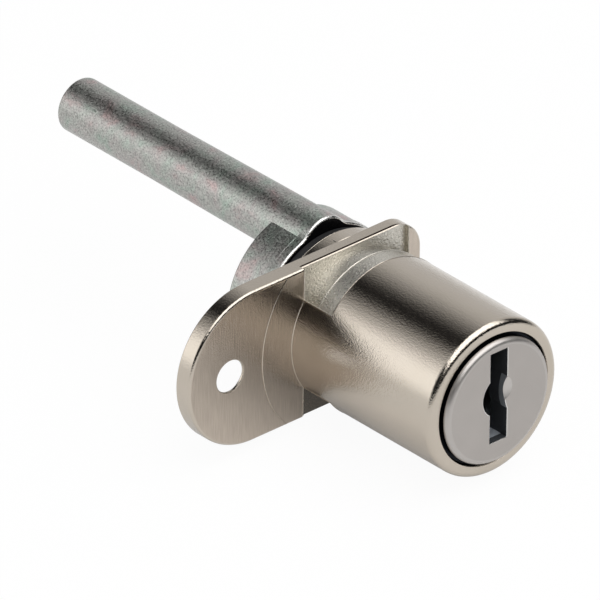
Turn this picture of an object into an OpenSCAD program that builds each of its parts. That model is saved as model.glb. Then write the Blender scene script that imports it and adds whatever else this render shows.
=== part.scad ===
// Desk pedestal lock: flanged barrel, wafer core, and a crank whose long rod drives the locking bar.
// Y runs along the lock axis, from the key side (-Y) to the drive rod (+Y). Z is up.
// The origin is on the lock axis, in the front face of the flange, which seats on the panel.
// Everything is shown as with the right key in: wafers flush with the core, rod at 12 o'clock.

/* [Barrel] */
// Outside diameter of the barrel, for an 18 mm hole in the panel
barrel_d = 17.9; // [17.7:0.1:20]
// Length of the barrel in front of the flange
barrel_len = 21.2; // [21:0.1:26]
// Radius of the rounded front rim
rim_round = 0.8; // [0.3:0.05:0.9]
// Diameter of the bore that holds the core
bore_d = 15; // [14.6:0.05:15.1]
// Thickness of the wall behind the bore, from the bore's floor to the boss's rear face
rear_wall = 3; // [2.6:0.1:5]

/* [Flange] */
// Thickness of the flange
flange_t = 2.1; // [1.6:0.1:2.6]
// Height of the flange
flange_h = 17.9; // [17.5:0.1:22]
// Reach of the ear from the lock axis
ear_reach = 23.15; // [21.5:0.05:32]
// Reach of the short side from the lock axis
short_reach = 9.05; // [8.95:0.05:14]
// Corner radius of the short side
short_corner_r = 3.4; // [1:0.1:5]
// Radius of the flange's front edge
flange_edge_r = 0.35; // [0.1:0.05:0.6]
// Distance of the screw hole from the lock axis
screw_offset = 17.45; // [13:0.05:17.6]
// Diameter of the screw hole
screw_hole_d = 3.7; // [2.5:0.1:4.5]
// Diameter of the hole's countersink on the flange's rear face, for the screw's head
countersink_d = 8; // [5:0.1:8.1]
// Length of the screw hole's straight part, in front of the countersink
screw_land = 0.3; // [0.2:0.05:1.5]
// Diameter of the boss behind the flange
boss_d = 18; // [15:0.1:18.4]
// Length of the boss behind the flange
boss_len = 1.4; // [0.8:0.1:3]

/* [Relief] */
// Width of the relief at the top and bottom of the barrel's root
relief_w = 14.55; // [9:0.05:15]
// Length of the relief along the barrel
relief_len = 4.25; // [3:0.05:5]
// Depth of the relief in the barrel
relief_depth = 0.25; // [0.1:0.05:0.4]
// Length of the deeper groove beside the flange
root_groove_len = 2; // [0.8:0.05:2.6]
// Depth of the deeper groove
root_groove_depth = 0.75; // [0.4:0.05:0.8]
// Depth of the relief in the flange's face
face_relief = 0.4; // [0.1:0.05:0.45]

/* [Core] */
// How far the core's face stands in front of the barrel
core_proud = 0.8; // [0.2:0.05:1.4]
// Width of the ring gap around the core's head
head_gap = 0.35; // [0.15:0.05:0.5]
// Radius of the head's rounded edge
head_round = 0.6; // [0.2:0.05:0.8]
// Width of the keyway
keyway_w = 2.35; // [2:0.05:2.8]
// Height of the keyway
keyway_h = 10.65; // [9.4:0.05:10.8]
// Height of the keyway's middle above the lock axis
keyway_rise = 0.75; // [0:0.05:0.8]
// Radius of the lead-in dimple
dimple_r = 1.45; // [1:0.05:2]
// Depth of the lead-in dimple
dimple_depth = 0.35; // [0.2:0.05:0.9]

/* [Wafers] */
// Thickness of a wafer
wafer_t = 1.4; // [1:0.05:1.5]
// Distance from the last wafer to the retaining wafer
retainer_gap = 2.8; // [2.4:0.05:4]
// Width of a wafer
wafer_w = 6; // [5.6:0.1:6.4]
// Travel of a wafer into the barrel
wafer_throw = 0.7; // [0.4:0.05:0.7]
// Travel of the retaining wafer
retainer_throw = 0.5; // [0.3:0.05:0.6]
// Diameter of a wafer spring
spring_d = 1.4; // [1:0.05:1.5]
// Wire diameter of a wafer spring
spring_wire_d = 0.2; // [0.14:0.02:0.3]
// Turns in a wafer spring
spring_turns = 5; // [3:1:6]

/* [Drive] */
// Diameter of the driver's spindle
spindle_d = 7.9; // [7:0.1:8.6]
// Thickness of the driver's disc
driver_disc_t = 1; // [0.7:0.1:1.4]
// Width of the tongue that turns with the core
tongue_w = 3; // [2:0.1:4]
// Side of the spindle's square
square_side = 5.4; // [4.4:0.1:5.6]
// Thickness of the nylon washer behind the boss
washer_t = 1.2; // [0.6:0.1:2.5]
// Diameter of the nylon washer
washer_d = 17; // [11:0.1:17.6]
// Diameter of the stop pin
stop_pin_d = 1.4; // [1:0.1:1.6]
// Turn from unlocked to locked
turn_range = 180; // [90:15:180]

/* [Crank] */
// Diameter of the crank's disc
crank_d = 18; // [16:0.1:24]
// Thickness of the crank's disc
crank_t = 5.4; // [3.5:0.1:9]
// Width of the smooth band at the front of the disc
crank_band = 1.2; // [0.6:0.1:2]
// Distance of the rod's axis from the lock axis
rod_offset = 6.95; // [6.7:0.05:9]
// Diameter of the rod where it leaves the disc
rod_root_d = 6.4; // [5:0.1:6.6]
// Diameter of the rod's parallel end
rod_end_d = 6.1; // [4.6:0.1:6.6]
// Length of the rod behind the disc
rod_len = 33.2; // [18:0.1:60]
// Length of the rod's parallel end
rod_land = 14; // [6:0.5:16]
// Radius of the fillet between disc and rod on the smooth band
web_fillet_r = 2.5; // [1:0.1:6]

/* [Hidden] */

wafer_count = 6;
fine = 96;
small = 48;
over = 1;

run_clear = 0.05;
slide_clear = 0.05;
side_clear = 0.1;
seat_clear = 0.03;
fit_clear = 0.025;
tip_clear = 0.1;
groove_clear = 0.2;

barrel_r = barrel_d / 2;
bore_r = bore_d / 2;
boss_y = flange_t + boss_len;
bore_floor = boss_y - rear_wall;
front_y = -barrel_len;

core_r = bore_r - run_clear;
head_r = bore_r - head_gap;
face_y = front_y - core_proud;
head_depth = 0.4;
driver_room = 1.7;
core_back = bore_floor - driver_room;
bulge_r = 2.4;
bulge_x = 0.255;
ward_r = 5.1;
ward_x = 5.9;
keyway_tail = 0.35;
dimple_x = 0.4;
dimple_lift = 0.65;
dimple_taper = 0.5;

slot_t = wafer_t + 2 * slide_clear;
slot_w = wafer_w + 2 * side_clear;
wafer_r = core_r - tip_clear;
front_wall = 2.5;
first_wafer_y = front_y + front_wall;
retainer_y = -4.4;
wafer_pitch = (retainer_y - retainer_gap - first_wafer_y) / (wafer_count - 1);
groove_end = 0.25;
groove_side = 0.2;
ring_side = 0.15;
groove_front = wafer_y(1) - slot_t / 2 - groove_end;
groove_back = wafer_y(wafer_count) + slot_t / 2 + groove_end;
groove_w = slot_w + 2 * groove_side;
groove_r = wafer_r + wafer_throw + groove_clear;
ring_groove_r = wafer_r + retainer_throw + groove_clear;
ring_groove_w = slot_t + 2 * ring_side;

pocket_w = spring_d + 4 * side_clear;
pocket_x = slot_w / 2 + pocket_w / 2;
lug_h = 1.2;
lug_low = 0.3;
pocket_end = 4.3;
window_side = 0.2;
bitting = 1.9;

tongue_depth = 1.6;
tongue_h = 9;
disc_front = core_back + side_clear;
disc_back = disc_front + driver_disc_t;
disc_gap = 0.2;
disc_r = bore_r - disc_gap;
spindle_r = spindle_d / 2;
bearing_r = spindle_r + run_clear;
pin_r = stop_pin_d / 2;
pin_inset = 0.2;
pin_depth = 1.8;
pin_orbit = disc_r - pin_r - pin_inset;
notch_gap = 0.15;
notch_r = pin_orbit - pin_r - notch_gap;
notch_half = asin((pin_r + side_clear) / pin_orbit);
pin_clock = 90;

crank_r = crank_d / 2;
crank_front = boss_y + washer_t + 2 * run_clear;
crank_back = crank_front + crank_t;
rivet_depth = 1.2;
rivet_flare = 0.5;
rivet_r = square_side / 2 + rivet_flare;
rod_end = crank_back + rod_len;
rod_chamfer = 0.2;
band_step = 0.07;
edge_chamfer = 0.3;

// Code of each wafer: how far its window is shifted, in steps
codes = [1, 3, 2, 4, 2, 3];
middle_code = (min(codes) + max(codes)) / 2;
code_step = 0.3;

// Position of wafer i along the axis, 1 being the front one
function wafer_y(i) = first_wafer_y + (i - 1) * wafer_pitch;

// Odd wafers spring upwards, even ones downwards
function lift_side(i) = i % 2 == 1 ? 1 : -1;

// A profile of radius against Y, turned about the lock axis
module turned() rotate([-90, 0, 0]) rotate_extrude($fn = fine) children();

// An outline in X and Z, extruded along Y
module along_y(y0, y1) translate([0, y1, 0]) rotate([90, 0, 0]) linear_extrude(y1 - y0) children();

// An outline in Z and Y, extruded along X
module along_x(x0, x1) translate([x1, 0, 0]) rotate([0, -90, 0]) linear_extrude(x1 - x0) children();

module round_bar(d, y0, y1) translate([0, y0, 0]) rotate([-90, 0, 0]) cylinder(d = d, h = y1 - y0, $fn = fine);

// What a rounding of radius r takes off an outer corner at (x, y) that faces +X and -Y
module corner_nick(x, y, r) translate([x - r, y]) difference() {
    square(r);
    translate([0, r]) circle(r, $fn = small);
}

// Housing: a die casting of barrel, flange and rear boss
module barrel_blank() turned() difference() {
    translate([0, front_y]) square([barrel_r, barrel_len + flange_t]);
    corner_nick(barrel_r, front_y, rim_round);
}

// A round end of the flange, with its rounded front edge
module flange_disc(r) turned() difference() {
    square([r, flange_t]);
    corner_nick(r, 0, flange_edge_r);
}

module flange_blank() {
    ear_r = flange_h / 2;
    ear_x = ear_r - ear_reach;
    corner_x = short_reach - short_corner_r;
    corner_z = flange_h / 2 - short_corner_r;
    translate([ear_x, 0, 0]) flange_disc(ear_r);
    along_x(ear_x, corner_x) difference() {
        translate([-flange_h / 2, 0]) square([flange_h, flange_t]);
        corner_nick(flange_h / 2, 0, flange_edge_r);
        mirror([1, 0]) corner_nick(flange_h / 2, 0, flange_edge_r);
    }
    for (s = [-1, 1]) translate([corner_x, 0, s * corner_z]) flange_disc(short_corner_r);
    translate([0, 0, -corner_z]) linear_extrude(2 * corner_z) difference() {
        square([short_reach, flange_t]);
        corner_nick(short_reach, 0, flange_edge_r);
    }
}

// Relief at the barrel's root, cut above and below between two flat walls
module root_relief() for (a = [0, 180]) rotate([0, a, 0]) difference() {
    translate([-relief_w / 2, -relief_len, 0]) cube([relief_w, relief_len + face_relief, flange_h]);
    round_bar(2 * (barrel_r - relief_depth), -relief_len - over, -root_groove_len);
    round_bar(2 * (barrel_r - root_groove_depth), -relief_len - over, face_relief + over);
}

// Grooves that the wafers enter, at the two positions where the key can be drawn
module wafer_grooves() intersection() {
    translate([-groove_w / 2, groove_front, -barrel_r]) cube([groove_w, groove_back - groove_front, barrel_d]);
    round_bar(2 * groove_r, groove_front - over, groove_back + over);
}

// Screw hole through the ear, countersunk from the rear because the panel lies in front
module screw_hole() translate([-screw_offset, 0, 0]) {
    round_bar(screw_hole_d, -over, flange_t);
    cone_r = countersink_d / 2;
    turned() polygon([
        [0, screw_land], [screw_hole_d / 2, screw_land], [cone_r, flange_t],
        [cone_r, flange_t + over], [0, flange_t + over]
    ]);
}

module housing() color("#b8b0a4") difference() {
    union() {
        barrel_blank();
        flange_blank();
        round_bar(boss_d, flange_t / 2, boss_y);
    }
    root_relief();
    round_bar(bore_d, front_y - over, bore_floor);
    wafer_grooves();
    round_bar(2 * ring_groove_r, retainer_y - ring_groove_w / 2, retainer_y + ring_groove_w / 2);
    round_bar(2 * bearing_r, bore_floor - over, boss_y + over);
    screw_hole();
    at_stop_pin() round_bar(stop_pin_d, bore_floor - over, bore_floor + pin_depth);
}

// Core: the rotating plug with its keyway and wafer slots
module keyway_outline() difference() {
    union() {
        translate([-keyway_w / 2, keyway_rise - keyway_h / 2]) square([keyway_w, keyway_h]);
        intersection() {
            translate([bulge_x, keyway_rise]) circle(bulge_r, $fn = small);
            translate([-2 * bulge_r, keyway_rise - bulge_r]) square(2 * bulge_r);
        }
    }
    translate([ward_x, keyway_rise]) circle(ward_r, $fn = small);
}

// Room for one wafer and its spring: a slot right through, and a pocket at its side
module wafer_slot(y, side, throw) translate([0, y, 0]) mirror([0, 0, side > 0 ? 0 : 1]) {
    translate([-slot_w / 2, -slot_t / 2, -bore_r]) cube([slot_w, slot_t, bore_d]);
    pocket_top = lug_low + lug_h + throw + slide_clear;
    translate([0, -slot_t / 2, -pocket_end]) cube([pocket_x + pocket_w / 2, slot_t, pocket_top + pocket_end]);
}

module core() color("#aaa6a2") difference() {
    union() {
        round_bar(2 * core_r, front_y + head_depth, core_back);
        turned() difference() {
            translate([0, face_y]) square([head_r, core_proud + head_depth + over]);
            corner_nick(head_r, face_y, head_round);
        }
    }
    along_y(face_y - over, retainer_y + slot_t / 2 + keyway_tail) keyway_outline();
    translate([dimple_x, face_y, keyway_rise + dimple_lift]) rotate([-90, 0, 0])
        cylinder(r1 = dimple_r, r2 = dimple_r - dimple_taper, h = dimple_depth, $fn = small);
    for (i = [1:wafer_count]) wafer_slot(wafer_y(i), lift_side(i), wafer_throw);
    wafer_slot(retainer_y, -1, retainer_throw);
    translate([-tongue_w / 2 - side_clear, core_back - tongue_depth, -tongue_h / 2 - side_clear])
        cube([tongue_w + 2 * side_clear, tongue_depth + over, tongue_h + 2 * side_clear]);
}

// A stamped wafer: rounded ends, a window for the key and a lug for the spring
module wafer(y, side, shift) translate([0, y, 0]) mirror([0, 0, side > 0 ? 0 : 1])
    along_y(-wafer_t / 2, wafer_t / 2) {
        window_x = bulge_x - bulge_r - window_side;
        window_w = keyway_w / 2 + window_side - window_x;
        window_h = keyway_h - bitting;
        difference() {
            union() {
                intersection() {
                    circle(wafer_r, $fn = fine);
                    translate([-wafer_w / 2, -bore_r]) square([wafer_w, bore_d]);
                }
                translate([0, lug_low]) square([pocket_x + pocket_w / 2 - side_clear, lug_h]);
            }
            translate([window_x, -window_h / 2 + shift]) square([window_w, window_h]);
        }
    }

module tumbler_wafer(i) color("#b9bbbe")
    wafer(wafer_y(i), lift_side(i), (codes[i - 1] - middle_code) * code_step + lift_side(i) * keyway_rise);

// The retaining wafer rests out in the ring groove, and keeps the core from being drawn
module retaining_wafer() color("#b9bbbe") translate([0, 0, -retainer_throw]) wafer(retainer_y, -1, 0);

// Coil spring along Z, from z0 to z1: one unbroken wire
module coil(z0, z1) {
    wire_r = spring_wire_d / 2;
    coil_r = spring_d / 2 - wire_r;
    steps = 12;
    sides = 6;
    rings = spring_turns * steps;
    rise = z1 - z0 - 2 * wire_r;
    points = [for (i = [0:rings]) for (j = [0:sides - 1])
        let (a = 360 * i / steps, b = 360 * j / sides, r = coil_r + wire_r * cos(b))
        [r * cos(a), r * sin(a), z0 + wire_r + rise * i / rings + wire_r * sin(b)]];
    skin = [for (i = [0:rings - 1]) for (j = [0:sides - 1])
        let (p = i * sides + j, q = i * sides + (j + 1) % sides)
        each [[p, q, p + sides], [q, q + sides, p + sides]]];
    first_cap = [for (j = [1:sides - 2]) [0, j + 1, j]];
    last = rings * sides;
    last_cap = [for (j = [1:sides - 2]) [last, last + j, last + j + 1]];
    polyhedron(points, concat(skin, first_cap, last_cap));
}

// A spring in its pocket, pressing on the lug of its wafer, which has moved by travel
module spring_at(y, side, travel) color("#d8d8dc")
    translate([pocket_x, y, 0]) mirror([0, 0, side > 0 ? 0 : 1])
        coil(-pocket_end + seat_clear, lug_low + travel - seat_clear);

// Driver: disc and tongue behind the core, spindle through the rear wall, square and rivet head
module driver() color("#8f9296") {
    difference() {
        round_bar(2 * disc_r, disc_front, disc_back);
        along_y(disc_front - over, disc_back + over) difference() {
            sector(pin_clock - turn_range - notch_half, pin_clock + notch_half, bore_d);
            circle(notch_r, $fn = fine);
        }
    }
    translate([-tongue_w / 2, core_back - tongue_depth + side_clear, -tongue_h / 2])
        cube([tongue_w, tongue_depth + driver_disc_t / 2, tongue_h]);
    round_bar(spindle_d, disc_back - driver_disc_t / 2, crank_front - fit_clear);
    translate([-square_side / 2, crank_front - over, -square_side / 2])
        cube([square_side, crank_t - rivet_depth + over, square_side]);
    translate([0, crank_back - rivet_depth - fit_clear, 0]) rotate([-90, 0, 0])
        cylinder(r1 = square_side / 2, r2 = rivet_r, h = rivet_depth, $fn = fine);
}

// A pie slice in X and Z, its angles counted from +Z towards +X
module sector(a0, a1, r) {
    slices = 12;
    polygon(concat([[0, 0]], [for (i = [0:slices]) let (a = a0 + (a1 - a0) * i / slices) r * [sin(a), cos(a)]]));
}

// Dished washer that takes up the end play behind the driver's disc
module spring_washer() color("#d8d8dc") {
    inner = bearing_r + side_clear;
    outer = notch_r - side_clear;
    low = disc_back + seat_clear;
    high = bore_floor - seat_clear;
    sheet = (high - low) / 2;
    turned() polygon([[inner, low], [outer, high - sheet], [outer, high], [inner, low + sheet]]);
}

module at_stop_pin() rotate([0, pin_clock, 0]) translate([0, 0, pin_orbit]) children();

module stop_pin() color("#8f9296") at_stop_pin()
    round_bar(stop_pin_d, disc_front + side_clear, bore_floor + pin_depth);

module thrust_washer() color("#1c1c1e") turned()
    translate([bearing_r, boss_y + seat_clear]) square([washer_d / 2 - bearing_r, washer_t]);

// Crank: a disc with the drive rod cast on near its rim
module crank_band_outline() {
    circle(crank_r, $fn = fine);
    translate([0, rod_offset]) circle(d = rod_root_d, $fn = fine);
    near = crank_r + web_fillet_r;
    far = rod_root_d / 2 + web_fillet_r;
    up = (near * near - far * far + rod_offset * rod_offset) / (2 * rod_offset);
    out = sqrt(near * near - up * up);
    for (s = [-1, 1]) difference() {
        polygon([[0, 0], [0, rod_offset], [s * out, up]]);
        translate([s * out, up]) circle(web_fillet_r, $fn = fine);
    }
}

module crank_disc_blank() turned()
    polygon([[0, crank_front], [crank_r - band_step, crank_front],
             [crank_r - band_step, crank_back - edge_chamfer],
             [crank_r - band_step - edge_chamfer, crank_back], [0, crank_back]]);

module drive_rod() translate([0, 0, rod_offset]) turned()
    polygon([[0, crank_front], [rod_root_d / 2, crank_front], [rod_root_d / 2, crank_back],
             [rod_end_d / 2, rod_end - rod_land], [rod_end_d / 2, rod_end - rod_chamfer],
             [rod_end_d / 2 - rod_chamfer, rod_end], [0, rod_end]]);

module crank() color("#a3a6a4") difference() {
    union() {
        along_y(crank_front, crank_front + crank_band) crank_band_outline();
        crank_disc_blank();
        drive_rod();
    }
    hole = square_side + 2 * fit_clear;
    translate([-hole / 2, crank_front - over, -hole / 2]) cube([hole, crank_t - rivet_depth + over, hole]);
    translate([0, crank_back - rivet_depth, 0]) rotate([-90, 0, 0])
        cylinder(r1 = hole / 2, r2 = rivet_r + fit_clear, h = rivet_depth, $fn = fine);
    translate([0, crank_back - fit_clear, 0]) round_bar(2 * (rivet_r + fit_clear), 0, over);
}

housing();
core();
for (i = [1:wafer_count]) {
    tumbler_wafer(i);
    spring_at(wafer_y(i), lift_side(i), 0);
}
retaining_wafer();
spring_at(retainer_y, -1, retainer_throw);  // retaining_spring
driver();
spring_washer();
stop_pin();
thrust_washer();
crank();
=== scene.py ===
import math
import bmesh
import bpy
from mathutils import Matrix, Vector


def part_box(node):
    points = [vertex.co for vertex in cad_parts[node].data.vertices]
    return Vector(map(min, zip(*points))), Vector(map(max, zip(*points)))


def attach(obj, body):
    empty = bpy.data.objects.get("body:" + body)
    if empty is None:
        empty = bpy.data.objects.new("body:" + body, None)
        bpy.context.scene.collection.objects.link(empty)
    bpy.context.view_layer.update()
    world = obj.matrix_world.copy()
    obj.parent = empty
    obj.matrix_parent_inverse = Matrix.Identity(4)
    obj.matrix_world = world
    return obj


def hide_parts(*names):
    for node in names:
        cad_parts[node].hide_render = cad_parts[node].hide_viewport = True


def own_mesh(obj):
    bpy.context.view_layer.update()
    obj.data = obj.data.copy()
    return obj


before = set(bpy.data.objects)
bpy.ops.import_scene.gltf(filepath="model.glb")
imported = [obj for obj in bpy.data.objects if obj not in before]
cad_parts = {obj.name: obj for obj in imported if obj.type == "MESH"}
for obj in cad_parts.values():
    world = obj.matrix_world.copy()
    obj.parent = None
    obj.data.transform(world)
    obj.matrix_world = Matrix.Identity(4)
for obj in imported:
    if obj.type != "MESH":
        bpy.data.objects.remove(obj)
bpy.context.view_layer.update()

mm = 0.001
print("stage: frame loaded,", len(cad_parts), "nodes")

# The lock lies along Y: key side at -Y, drive rod at +Y, ear towards -X, Z up. Sizes below are in mm.
roundSteps = 320      # facets round a turned form, fine enough for a mirror finish
cornerSteps = 6       # facets across a small rounded edge
beadSteps = 8         # facets round a thin bead or wire
holeSteps = 96        # facets round a hole


# small tools
def toLinear(hexText):
    # sRGB hex to linear RGBA
    parts = [int(hexText[i:i + 2], 16) / 255 for i in (1, 3, 5)]
    return [c / 12.92 if c <= 0.04045 else ((c + 0.055) / 1.055) ** 2.4 for c in parts] + [1.0]


def addNode(tree, kind, settings=None, inputs=None):
    # one node with its settings, and its inputs either set or linked
    node = tree.nodes.new(kind)
    for name, value in (settings or {}).items():
        setattr(node, name, value)
    for socket, value in (inputs or {}).items():
        if isinstance(value, bpy.types.NodeSocket):
            tree.links.new(value, node.inputs[socket])
        else:
            node.inputs[socket].default_value = value
    return node


def meshObject(name, bm):
    bmesh.ops.recalc_face_normals(bm, faces=bm.faces)
    mesh = bpy.data.meshes.new(name)
    bm.to_mesh(mesh)
    bm.free()
    thing = bpy.data.objects.new(name, mesh)
    bpy.context.scene.collection.objects.link(thing)
    return thing


def roundCorners(points, closed=False):
    # points are (a, b) or (a, b, radius); a corner with a radius becomes an arc
    result = []
    count = len(points)
    for i, point in enumerate(points):
        here = Vector(point[:2])
        radius = point[2] if len(point) > 2 else 0
        if not radius or (not closed and i in (0, count - 1)):
            result.append(here)
            continue
        back = (Vector(points[i - 1][:2]) - here).normalized()
        ahead = (Vector(points[(i + 1) % count][:2]) - here).normalized()
        half = back.angle(ahead) / 2
        reach = radius / math.tan(half)
        centre = here + (back + ahead).normalized() * (radius / math.sin(half))
        start = here + back * reach - centre
        sweep = here + ahead * reach - centre
        turn = start.angle_signed(sweep)
        steps = max(2, round(abs(turn) / math.radians(90) * cornerSteps))
        for k in range(steps + 1):
            result.append(centre + Matrix.Rotation(-turn * k / steps, 2) @ start)
    return result


def turned(name, profile, steps=roundSteps, middle=(0, 0)):
    # profile is (radius, y), turned about an axis along Y through middle = (x, z)
    bm = bmesh.new()
    points = roundCorners(profile)
    rings = []
    for radius, y in points:
        rings.append([bm.verts.new(((middle[0] + radius * math.sin(a)) * mm, y * mm,
                                    (middle[1] + radius * math.cos(a)) * mm))
                      for a in (2 * math.pi * k / steps for k in range(steps))])
    for low, high in zip(rings, rings[1:]):
        for k in range(steps):
            bm.faces.new((low[k], low[(k + 1) % steps], high[(k + 1) % steps], high[k]))
    bm.faces.new(rings[0])
    bm.faces.new(rings[-1])
    return meshObject(name, bm)


def lofted(name, outline, levels):
    # outline is (x, z) counted one way round; levels are (y, inset) from front to back
    bm = bmesh.new()
    count = len(outline)
    outward = []
    for i in range(count):
        edge = (Vector(outline[(i + 1) % count]) - Vector(outline[i - 1])).normalized()
        outward.append(Vector((edge.y, -edge.x)))
    rings = []
    for y, inset in levels:
        rings.append([bm.verts.new(((p[0] - n.x * inset) * mm, y * mm, (p[1] - n.y * inset) * mm))
                      for p, n in zip(outline, outward)])
    for low, high in zip(rings, rings[1:]):
        for k in range(count):
            bm.faces.new((low[k], low[(k + 1) % count], high[(k + 1) % count], high[k]))
    bm.faces.new(rings[0])
    bm.faces.new(rings[-1])
    return meshObject(name, bm)


def block(name, low, high):
    # a plain block, only ever used to cut with
    bm = bmesh.new()
    bmesh.ops.create_cube(bm, size=1)
    for v in bm.verts:
        v.co = Vector([(low[i] + high[i]) / 2 + v.co[i] * (high[i] - low[i]) for i in range(3)]) * mm
    return meshObject(name, bm)


def combine(target, others, how="DIFFERENCE"):
    # cut, join or overlap target with the other meshes, which are used up
    for other in others:
        step = target.modifiers.new("combine", "BOOLEAN")
        step.operation = how
        step.solver = "EXACT"
        step.object = other
        applyAll(target)
        bpy.data.objects.remove(other)
    return target


def applyAll(thing):
    # keep the evaluated mesh and drop the modifiers
    graph = bpy.context.evaluated_depsgraph_get()
    mesh = bpy.data.meshes.new_from_object(thing.evaluated_get(graph))
    thing.modifiers.clear()
    old, thing.data = thing.data, mesh
    bpy.data.meshes.remove(old)
    mesh.name = thing.name


def polish(thing, angle=24):
    # smooth shading that keeps flats flat and creases sharp: at each corner, the faces that turn
    # less than the angle share one normal, and the larger faces count for more
    bm = bmesh.new()
    bm.from_mesh(thing.data)
    bmesh.ops.remove_doubles(bm, verts=bm.verts, dist=0.002 * mm)
    bmesh.ops.dissolve_degenerate(bm, edges=bm.edges, dist=0.001 * mm)
    # the merge folds slivers flat, so that two faces lie on the same corners. Large faces and faces that
    # share a sliver's corners are split first, which can bare another one, so this runs twice
    for turn in range(2):
        known = {frozenset(face.verts) for face in bm.faces}
        mixed = [face for face in bm.faces if len(face.verts) > 4
                 or any(frozenset(face.verts) - {vert} in known for vert in face.verts)]
        bmesh.ops.triangulate(bm, faces=mixed)
    # then both faces of each folded pair go
    sameCorners = {}
    for face in bm.faces:
        sameCorners.setdefault(frozenset(face.verts), []).append(face)
    folded = [face for faces in sameCorners.values() if len(faces) > 1 for face in faces]
    bmesh.ops.delete(bm, geom=folded, context="FACES")
    bm.normal_update()
    limit = math.cos(math.radians(angle))
    normals = []
    for face in bm.faces:
        face.smooth = True
        for corner in face.loops:
            total = Vector()
            for other in corner.vert.link_faces:
                if other.normal.dot(face.normal) > limit:
                    total += other.normal * other.calc_area()
            normals.append(total.normalized() if total.length else face.normal.copy())
    bm.to_mesh(thing.data)
    bm.free()
    thing.data.normals_split_custom_set(normals)


def finishPiece(thing, body, material, replaced=None):
    thing.data.materials.clear()
    thing.data.materials.append(material)
    if replaced:
        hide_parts(replaced)
    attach(thing, body)


def evenAngles(start, end, steps):
    return [math.radians(start + (end - start) * k / steps) for k in range(steps + 1)]


def arc(middle, radius, start, end, steps):
    # points from start to end in degrees, counted from +X towards +Z
    return [(middle[0] + radius * math.cos(a), middle[1] + radius * math.sin(a)) for a in evenAngles(start, end, steps)]


def ridge(name, path, radius):
    # a thin round bead along a path of (x, y, z), such as the line that two mould halves leave, or a wire
    bm = bmesh.new()
    points = [Vector(p) for p in path]
    rings = []
    for i, point in enumerate(points):
        along = (points[min(i + 1, len(points) - 1)] - points[max(i - 1, 0)]).normalized()
        across = along.orthogonal().normalized() if not rings else (across - along * across.dot(along)).normalized()
        side = along.cross(across)
        rings.append([bm.verts.new((point + (across * math.cos(a) + side * math.sin(a)) * radius) * mm)
                      for a in (2 * math.pi * k / beadSteps for k in range(beadSteps))])
    for low, high in zip(rings, rings[1:]):
        for k in range(beadSteps):
            bm.faces.new((low[k], low[(k + 1) % beadSteps], high[(k + 1) % beadSteps], high[k]))
    bm.faces.new(rings[0])
    bm.faces.new(rings[-1])
    return meshObject(name, bm)


def roundAxis(radius, y, start, end, steps):
    # points on a circle about the lock's axis, in degrees from straight up towards the ear
    return [(-radius * math.sin(a), y, radius * math.cos(a)) for a in evenAngles(start, end, steps)]


# materials
def newMaterial(name):
    material = bpy.data.materials.new(name)
    material.use_nodes = True
    tree = material.node_tree
    tree.nodes.clear()
    output = addNode(tree, "ShaderNodeOutputMaterial")
    return material, tree, output


# the functions from here to maths() each add one node and give its result; surface() links its own
def faceMark(tree, name):
    # a value that the mesh's faces carry
    return addNode(tree, "ShaderNodeAttribute", {"attribute_name": name}).outputs["Fac"]


def noise(tree, place, size, detail, roughness=0.5, distortion=0.0):
    # patches of about the size, in mm
    return addNode(tree, "ShaderNodeTexNoise",
                   inputs={"Vector": place, "Scale": 1 / (size * mm), "Detail": detail,
                           "Roughness": roughness, "Distortion": distortion}).outputs[0]


def stretch(tree, place, shape):
    return addNode(tree, "ShaderNodeMapping", {"vector_type": "TEXTURE"}, {"Vector": place, "Scale": shape}).outputs[0]


def bump(tree, height, depth, strength=1.0, below=None):
    # depth in mm, on top of the bump below
    inputs = {"Strength": strength, "Distance": depth * mm, "Height": height}
    if below is not None:
        inputs["Normal"] = below
    return addNode(tree, "ShaderNodeBump", inputs=inputs).outputs[0]


def blend(tree, share, low, high):
    # colours as sRGB hex, or as the result of another node
    low, high = [toLinear(c) if isinstance(c, str) else c for c in (low, high)]
    return addNode(tree, "ShaderNodeMix", {"data_type": "RGBA"}, {"Factor": share, 6: low, 7: high}).outputs[2]


def scaled(tree, colour, factor):
    return addNode(tree, "ShaderNodeVectorMath", {"operation": "SCALE"}, {"Vector": colour, "Scale": factor}).outputs[0]


def remap(tree, value, low, high, start=0.0, end=1.0, how="LINEAR"):
    # low at start, high at end
    return addNode(tree, "ShaderNodeMapRange", {"interpolation_type": how},
                   {"Value": value, "From Min": start, "From Max": end, "To Min": low, "To Max": high}).outputs[0]


def maths(tree, operation, *values):
    return addNode(tree, "ShaderNodeMath", {"operation": operation}, dict(enumerate(values))).outputs[0]


def surface(tree, output, colour, roughness, normal, metallic=1.0, ior=1.5):
    shader = addNode(tree, "ShaderNodeBsdfPrincipled",
                     inputs={"Base Color": colour, "Metallic": metallic, "Roughness": roughness, "IOR": ior,
                             "Normal": normal})
    tree.links.new(shader.outputs[0], output.inputs["Surface"])


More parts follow.
